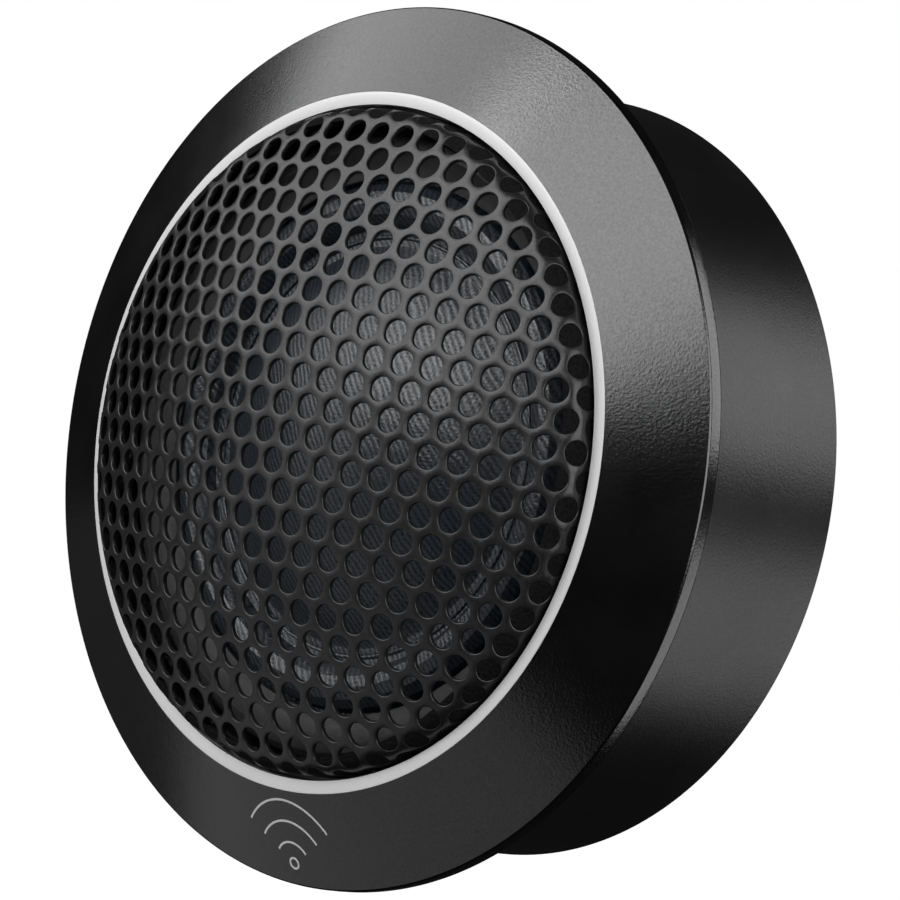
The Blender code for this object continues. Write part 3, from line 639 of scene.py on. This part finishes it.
def grille():
    """The perforated sheet, cell by cell: each hexagon of metal with its hole through the middle."""
    sheet = Sheet(-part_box("grille")[0].y)
    centres = hole_centres()
    directions = [math.radians(360.0 * k / HOLE_STEPS) for k in range(HOLE_STEPS)]
    side_angle = math.radians(60.0)
    borders = []
    for angle in directions:
        away = (angle + side_angle / 2.0) % side_angle - side_angle / 2.0
        borders.append(HOLE_PITCH / 2.0 / math.cos(away))
    rings = hole_rings()
    shape = [(None, 0.0), *rings, (None, GRILLE_SHEET)]
    steps = {0: (1, 0), 1: (0, 1), 2: (-1, 1), 3: (-1, 0), 4: (0, -1), 5: (1, -1)}
    per_side = HOLE_STEPS // 6
    work = bmesh.new()
    for (column, row), (x, z) in centres.items():
        loops = []
        for radius, depth in shape:
            loop = []
            for angle, border in zip(directions, borders):
                reach = border if radius is None else radius
                stretch = HOLE_STRETCH if radius is None else 1.0
                flat = (x + reach * math.cos(angle) * stretch, z + reach * math.sin(angle))
                loop.append(work.verts.new(sheet.point(flat, depth)))
            loops.append(loop)
        for outer, inner in zip(loops, loops[1:]):
            for k in range(HOLE_STEPS):
                n = (k + 1) % HOLE_STEPS
                work.faces.new((outer[k], outer[n], inner[n], inner[k]))
        for side, (right, up) in steps.items():
            if (column + right, row + up) in centres:
                continue
            first = side * per_side - per_side // 2
            for k in range(first, first + per_side):
                n = (k + 1) % HOLE_STEPS
                k %= HOLE_STEPS
                work.faces.new((loops[0][n], loops[0][k], loops[-1][k], loops[-1][n]))
    foot_low, foot_high = section_span("grille")
    foot = [
        (GRILLE_SKIRT_RADIUS - GRILLE_SHEET / 3.0, foot_high),
        (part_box("grille")[1].x, foot_high),
        (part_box("grille")[1].x, foot_low),
        (GRILLE_SKIRT_RADIUS - GRILLE_SHEET, foot_low),
    ]
    turn(work, foot, INNER_STEPS)
    obj = new_piece("grille_perforated", work, MATERIALS["grille_black"], 50.0)
    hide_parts("grille")
    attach(obj, "frame")


def grille_shade_sheet():
    """A near-black sheet behind the shoulder and skirt, which closes their holes: painted shade, so the
    holes there read as black.
    """
    sheet = Sheet(-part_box("grille")[0].y)
    length = SHADE_SHEET_START
    outer = []
    inner = []
    while True:
        radius, height, outward, forward = sheet.outline(length)
        if height < SHADE_SHEET_FOOT:
            break
        outer.append((radius - outward * SHADE_SHEET_INSET, height - forward * SHADE_SHEET_INSET))
        depth = SHADE_SHEET_INSET + SHADE_SHEET_WALL
        inner.append((radius - outward * depth, height - forward * depth))
        length += SHADE_SHEET_STEP
    # The near-black sheet stands in for the shade inside the shoulder's holes.
    obj = turned("grille_shade_sheet", outer + inner[::-1], MATERIALS["foam_rubber"])
    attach(obj, "frame")


def section_span(node):
    """The lowest height of a node, and the height of the top of its foot."""
    outline = section(node)
    widest = max(radius for radius, _ in outline)
    heights = [height for radius, height in outline if widest - radius < WELD]
    return min(heights), max(heights)


# Flange, trim and mark -------------------------------------------------------------------


def flange():
    """The rim is rounded well; the seat of the bright ring stays crisp."""
    outline = section("bezel_flange")
    widest = max(radius for radius, _ in outline)
    profile = rounded(outline, RIM_ROUND, beyond=widest - RIM_ZONE)
    black = MATERIALS["flange_black"]
    smooth_copy("bezel_flange_turned", "bezel_flange", black, 0.03 * MM, profile=profile)


def trim():
    """The bright ring fills its seat: its outer side touches the cone."""
    seat = max(r for r, h in section("bezel_flange") if h > -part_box("bezel_flange")[0].y - WELD)
    inner = min(r for r, _ in section("trim_ring"))
    top = -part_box("trim_ring")[0].y
    bottom = -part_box("trim_ring")[1].y
    outer = seat - RING_CLEARANCE
    profile = [(inner, top), (outer, top), (outer, bottom), (inner, bottom)]
    white = MATERIALS["bright_trim"]
    smooth_copy("trim_ring_turned", "trim_ring", white, 0.025 * MM, profile=profile)


def cone_frame():
    """The cone's top and rim as (radius, height), from the flange's section."""
    outline = section("bezel_flange")
    top = max(outline, key=lambda point: (point[1], point[0]))
    widest = max(point[0] for point in outline)
    rim = max((p for p in outline if p[0] > widest - 0.2 * MM), key=lambda point: point[1])
    return Vector(top), Vector(rim)


def mark():
    """Three sound arcs over a dot, etched at the bottom of the cone."""
    top, rim = cone_frame()
    slope = (rim - top).normalized()
    lift = Vector((-slope.y, slope.x))
    middle = (top + rim) / 2.0 + slope * MARK_DROP
    work = bmesh.new()

    def on_cone(u, w, depth):
        """A point u to the side of the mark's foot and w up the cone from it."""
        place = middle - slope * w - lift * depth
        return at(place.x, -math.pi / 2.0 + u / middle.x, place.y)

    def band(inner, outer, start, end, count):
        """A raised line along part of a circle."""
        corners = ((inner, MARK_DEPTH), (inner, -MARK_LIFT), (outer, -MARK_LIFT), (outer, MARK_DEPTH))
        rings = []
        for i in range(count + 1):
            angle = math.radians(start + (end - start) * i / count)
            ring = []
            for radius, depth in corners:
                place = on_cone(radius * math.cos(angle), radius * math.sin(angle), depth)
                ring.append(work.verts.new(place))
            rings.append(ring)
        for first, second in zip(rings, rings[1:]):
            for j in range(4):
                k = (j + 1) % 4
                work.faces.new((first[j], first[k], second[k], second[j]))
        if end - start < 360.0:
            work.faces.new(rings[0])
            work.faces.new(rings[-1][::-1])

    for radius in MARK_RADII:
        start, end = 90.0 - MARK_HALF_ANGLE, 90.0 + MARK_HALF_ANGLE
        band(radius - MARK_LINE / 2.0, radius + MARK_LINE / 2.0, start, end, 40)
    band(MARK_DOT - MARK_LINE, MARK_DOT, 0.0, 360.0, 24)
    obj = new_piece("sound_arcs_mark", work, engraving(), 30.0)
    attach(obj, "frame")


# Driver, seen through the holes ----------------------------------------------------------


def faceplate():
    """The moulded ring round the dome."""
    smooth_copy("faceplate_moulded", "faceplate", MATERIALS["black_plastic"], 0.2 * MM, INNER_STEPS)


def dome():
    """The cap and its collar, as smooth curves through the CAD section's points."""
    profile = rounded(refined(section("dome"), False), 0.1 * MM, False)
    obj = turned("dome_silk", profile, MATERIALS["silk"], INNER_STEPS, False)
    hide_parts("dome")
    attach(obj, "diaphragm")


def glue_bead():
    """The line of glue that joins the dome's collar to the surround's inner foot."""
    inner_foot = min(section("surround"), key=lambda point: (point[0], -point[1]))
    centre = Vector(inner_foot) - Vector((BEAD_RADIUS / 2.0, 0.0))
    profile = []
    for i in range(BEAD_STEPS):
        angle = -2.0 * math.pi * i / BEAD_STEPS
        across, along = BEAD_RADIUS * math.cos(angle), BEAD_RADIUS * math.sin(angle)
        profile.append((centre.x + across, centre.y + along))
    obj = turned("dome_glue_bead", profile, MATERIALS["silk"], INNER_STEPS)
    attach(obj, "diaphragm")


def surround():
    """The half roll, turned in sectors between dome and frame."""
    outline = rounded(refined(section("surround")), 0.1 * MM)
    step = 360.0 / SURROUND_SECTORS
    for i in range(SURROUND_SECTORS):
        work = bmesh.new()
        turn(work, outline, INNER_STEPS // SURROUND_SECTORS, True, i * step, (i + 1) * step)
        obj = new_piece(f"surround_{i + 1:02d}", work, MATERIALS["silk"], weighted=False)
        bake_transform(obj)
        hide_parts("surround")


def coil_leads():
    """Smooth-shaded copies of the coil's fine leads, which run between the fixed tags and the moving
    former.
    """
    for side, sign in (("positive", 1.0), ("negative", -1.0)):
        node = f"coil_lead_{side}"
        mesh = NODES[node].data.copy()
        mesh.shade_smooth()
        obj = bpy.data.objects.new(f"{node}_flexing", mesh)
        bpy.context.scene.collection.objects.link(obj)
        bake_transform(obj)
        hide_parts(node)


# Housing and back ------------------------------------------------------------------------


def housing():
    """The can, its front edge brought up to the flange."""
    outline = section("rear_housing")
    front = max(h for _, h in outline)
    profile = [(r, HOUSING_LIP if h > front - WELD else h) for r, h in outline]
    black = MATERIALS["housing_black"]
    smooth_copy("rear_housing_turned", "rear_housing", black, 0.12 * MM, profile=profile)


def back_cover():
    """The plate that closes the housing."""
    smooth_copy("rear_cover_moulded", "rear_cover", MATERIALS["black_plastic"], 0.15 * MM)


def softened(node, width):
    """A copy of a CAD node with bevelled edges and smooth rounds."""
    work = bmesh.new()
    work.from_mesh(NODES[node].data)
    obj = new_piece(f"{node}_finished", work, MATERIALS[SLOTS[node]], SHARP_EDGE, weighted=False)
    edges = obj.modifiers.new("edges", "BEVEL")
    edges.width = width
    edges.segments = 2
    edges.limit_method = "ANGLE"
    edges.angle_limit = math.radians(SHARP_EDGE)
    edges.harden_normals = True
    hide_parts(node)
    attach(obj, "frame")


def back_fittings():
    """The terminal block, its two blades and the cover's screws."""
    softened("terminal_block", 0.25 * MM)
    softened("terminal_positive", 0.08 * MM)
    softened("terminal_negative", 0.08 * MM)
    for number in (1, 2, 3):
        softened(f"cover_screw_{number}", 0.12 * MM)


def bar(work, x, z, width, height):
    """A flat raised bar on the rear cover."""
    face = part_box("rear_cover")[1].y
    low = Vector((x - width / 2.0, face - POLARITY_RAISE, z - height / 2.0))
    size = Vector((width, 2.0 * POLARITY_RAISE, height))
    place = Matrix.Translation(low + size / 2.0) @ Matrix.Diagonal((*size, 1.0))
    bmesh.ops.create_cube(work, size=1.0, matrix=place)


def polarity_marks():
    """Moulded plus and minus signs above the two blades."""
    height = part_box("terminal_block")[1].z + POLARITY_GAP
    positive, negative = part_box("terminal_positive"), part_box("terminal_negative")
    plus_x = (positive[0].x + positive[1].x) / 2.0
    minus_x = (negative[0].x + negative[1].x) / 2.0
    work = bmesh.new()
    bar(work, plus_x, height, POLARITY_SIZE, POLARITY_LINE)
    bar(work, plus_x, height, POLARITY_LINE, POLARITY_SIZE)
    bar(work, minus_x, height, POLARITY_SIZE, POLARITY_LINE)
    obj = new_piece("polarity_marks", work, MATERIALS["black_plastic"], SHARP_EDGE, weighted=False)
    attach(obj, "frame")


# Camera, lights and floor ----------------------------------------------------------------


def direction(azimuth, elevation):
    """From the object towards something seen at that azimuth and elevation."""
    a, e = math.radians(azimuth), math.radians(elevation)
    return Vector((math.sin(a) * math.cos(e), -math.cos(a) * math.cos(e), math.sin(e)))


def camera():
    """Looks from the front right, level with the object and rolled a little."""
    back = direction(CAMERA_AZIMUTH, CAMERA_ELEVATION)
    level = (-back).to_track_quat("-Z", "Y").to_matrix()
    roll = Matrix.Rotation(math.radians(CAMERA_ROLL), 3, "Z")
    data = bpy.data.cameras.new("camera")
    data.lens = LENS
    data.sensor_width = SENSOR
    data.clip_start = 0.01
    obj = bpy.data.objects.new("camera", data)
    obj.matrix_world = Matrix.Translation(CAMERA_AIM + back * CAMERA_DISTANCE) @ (level @ roll).to_4x4()
    bpy.context.scene.collection.objects.link(obj)
    bpy.context.scene.camera = obj


def softbox(name, towards, distance, width, height, radiance):
    """A white rectangular area light that faces the object, its size and distance in metres."""
    way = Vector(towards).normalized()
    data = bpy.data.lights.new(name, "AREA")
    data.shape = "RECTANGLE"
    data.size = width
    data.size_y = height
    data.energy = radiance * math.pi * width * height
    obj = bpy.data.objects.new(name, data)
    facing = way.to_track_quat("Z", "Y").to_matrix().to_4x4()
    obj.matrix_world = Matrix.Translation(way * distance) @ facing
    obj.visible_camera = False
    bpy.context.scene.collection.objects.link(obj)


def lights():
    """Two large boxes overhead in front, dim fills, and a few on the right and behind."""
    softbox("key_right", (-0.150, -0.853, 0.500), 0.50, 0.41, 0.34, 4.4)
    softbox("key_left", (-0.722, -0.462, 0.515), 0.50, 0.39, 0.34, 2.75)
    softbox("front_fill", (-0.69, -0.72, 0.0), 0.60, 0.30, 0.30, 1.1)
    softbox("low_fill", (-0.53, -0.60, -0.60), 0.60, 0.80, 0.30, 0.46)
    softbox("left_low", (-0.93, -0.08, -0.33), 0.60, 0.40, 0.30, 0.045)
    softbox("right_side", (0.94, -0.26, 0.24), 0.50, 0.46, 0.46, 3.6)
    softbox("rear_right_upper", (0.56, 0.72, 0.41), 0.50, 0.20, 0.29, 2.7)
    softbox("rear_right_lower", (0.56, 0.72, -0.39), 0.50, 0.20, 0.29, 1.8)
    softbox("rear", (-0.25, 0.95, 0.18), 0.60, 0.20, 0.20, 1.4)


def world():
    """White to the camera, and a faint even light to the object."""
    made = bpy.data.worlds.new("world")
    made.use_nodes = True
    tree = made.node_tree
    tree.nodes.clear()
    ray = node_in(tree, "ShaderNodeLightPath", {}).outputs["Is Camera Ray"]
    levels = []
    for strength in (AMBIENT_STRENGTH, 1.0):
        inputs = {"Color": (1.0, 1.0, 1.0, 1.0), "Strength": strength}
        levels.append(node_in(tree, "ShaderNodeBackground", inputs).outputs[0])
    mix = node_in(tree, "ShaderNodeMixShader", {0: ray, 1: levels[0], 2: levels[1]}).outputs[0]
    node_in(tree, "ShaderNodeOutputWorld", {"Surface": mix})
    bpy.context.scene.world = made
    bpy.context.scene.view_settings.view_transform = "Standard"


def floor():
    """A pale floor, bright enough to be white, that throws no light on the object."""
    mesh = bpy.data.meshes.new("floor")
    work = bmesh.new()
    bmesh.ops.create_grid(work, x_segments=1, y_segments=1, size=FLOOR_HALF_SIDE)
    work.to_mesh(mesh)
    work.free()
    obj = bpy.data.objects.new("floor", mesh)
    obj.location.z = FLOOR_HEIGHT
    bpy.context.scene.collection.objects.link(obj)
    material = bpy.data.materials.new("floor_white")
    material.use_nodes = True
    shader = material.node_tree.nodes["Principled BSDF"]
    shader.inputs["Base Color"].default_value = (0.9, 0.9, 0.9, 1.0)
    shader.inputs["Roughness"].default_value = 0.9
    shader.inputs["Emission Color"].default_value = (1.0, 1.0, 1.0, 1.0)
    shader.inputs["Emission Strength"].default_value = 1.0
    mesh.materials.append(material)
    obj.visible_diffuse = False
    obj.visible_glossy = False
    obj.visible_shadow = False


# Assembly --------------------------------------------------------------------------------

camera()
lights()
world()
floor()
finish_cad_nodes()
flange()
trim()
mark()
grille()
grille_shade_sheet()
faceplate()
dome()
glue_bead()
surround()
coil_leads()
housing()
back_cover()
back_fittings()
polarity_marks()

bpy.context.view_layer.update()
